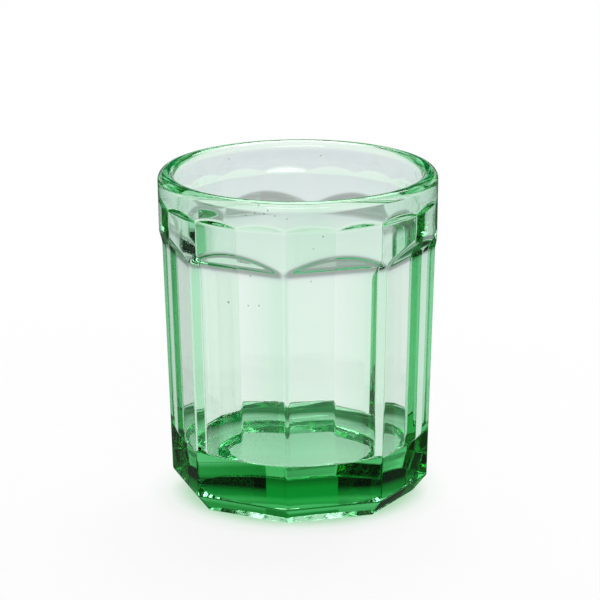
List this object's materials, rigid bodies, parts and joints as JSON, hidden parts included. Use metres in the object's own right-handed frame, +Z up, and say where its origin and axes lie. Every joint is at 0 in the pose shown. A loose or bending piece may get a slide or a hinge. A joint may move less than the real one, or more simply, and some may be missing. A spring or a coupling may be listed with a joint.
{
  "type": "drinking glass",
  "caption": "Heavy pressed tumbler in pale green glass, with wide arched flats outside, narrow facets inside and a thick octagonal base.",
  "frame": {"origin": "centre of the underside, in the plane of the table it stands on", "axes": "+Z up along the glass's own axis out of the mouth, -Y out of the middle of one wide flat"},
  "size_m": [0.08, 0.08, 0.095],
  "materials": {
    "green_glass": "clear green pressed glass, fire-polished, with a few seed bubbles"
  },
  "bodies": {
    "root": {"tumbler": "green_glass"}
  },
  "joints": []
}
